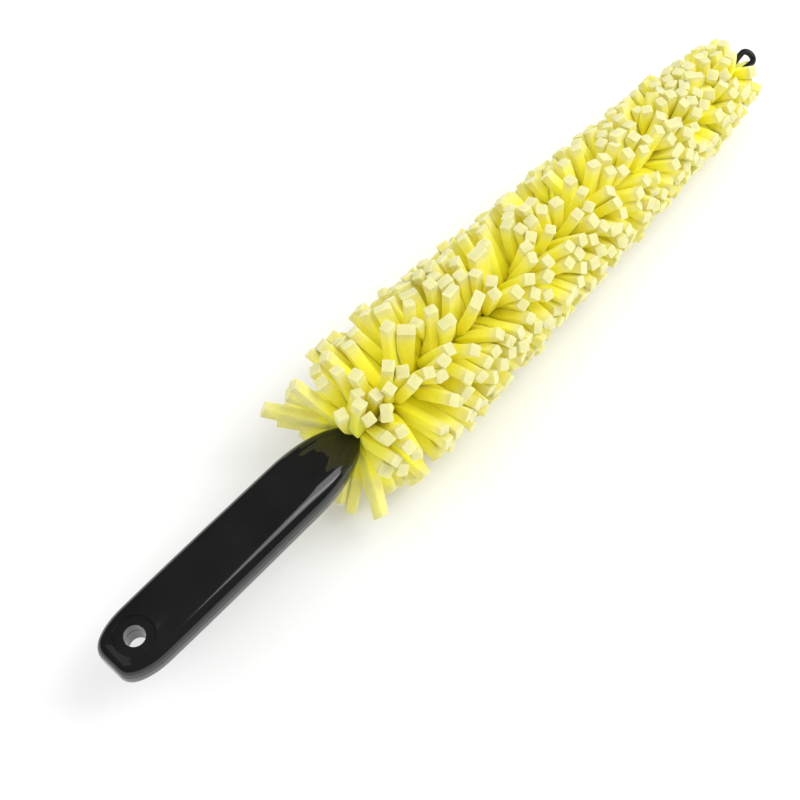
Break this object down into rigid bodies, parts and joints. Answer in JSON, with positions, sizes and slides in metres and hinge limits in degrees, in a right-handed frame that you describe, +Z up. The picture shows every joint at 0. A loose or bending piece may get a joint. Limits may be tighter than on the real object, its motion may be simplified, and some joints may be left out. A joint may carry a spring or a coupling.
{
  "type": "foam strip wheel brush",
  "caption": "Hand brush with a conical head of foam strips twisted into a coated wire, for cleaning wheels and tubes.",
  "frame": {"origin": "centre of the footprint, on the surface that the brush rests on", "axes": "+X from the handle to the tip, +Z up at rest; the brush's own axis runs 2.9 degrees tip down, so that the conical head lies flat"},
  "size_m": [0.4121, 0.0704, 0.0702],
  "materials": {
    "handle_plastic": "glossy black moulded plastic",
    "wire_coating": "black plastic coating on wire, soft gloss",
    "core_steel": "drawn steel wire",
    "foam": "fine open-cell yellow foam, cut strips"
  },
  "bodies": {
    "root": {"handle_upper_shell": "handle_plastic", "handle_lower_shell": "handle_plastic", "core_wire": "core_steel", "wire_coating": "wire_coating", "foam_turn_01": "foam", "foam_turn_02": "foam", "foam_turn_03": "foam", "foam_turn_04": "foam", "foam_turn_05": "foam", "foam_turn_06": "foam", "foam_turn_07": "foam", "foam_turn_08": "foam", "foam_turn_09": "foam", "foam_turn_10": "foam", "foam_turn_11": "foam", "foam_turn_12": "foam", "foam_turn_13": "foam", "foam_turn_14": "foam", "foam_turn_15": "foam", "foam_turn_16": "foam", "foam_turn_17": "foam", "foam_turn_18": "foam", "foam_turn_19": "foam", "foam_turn_20": "foam", "foam_turn_21": "foam", "foam_turn_22": "foam", "foam_turn_23": "foam", "foam_turn_24": "foam", "foam_turn_25": "foam", "foam_turn_26": "foam", "foam_turn_27": "foam"}
  },
  "joints": []
}
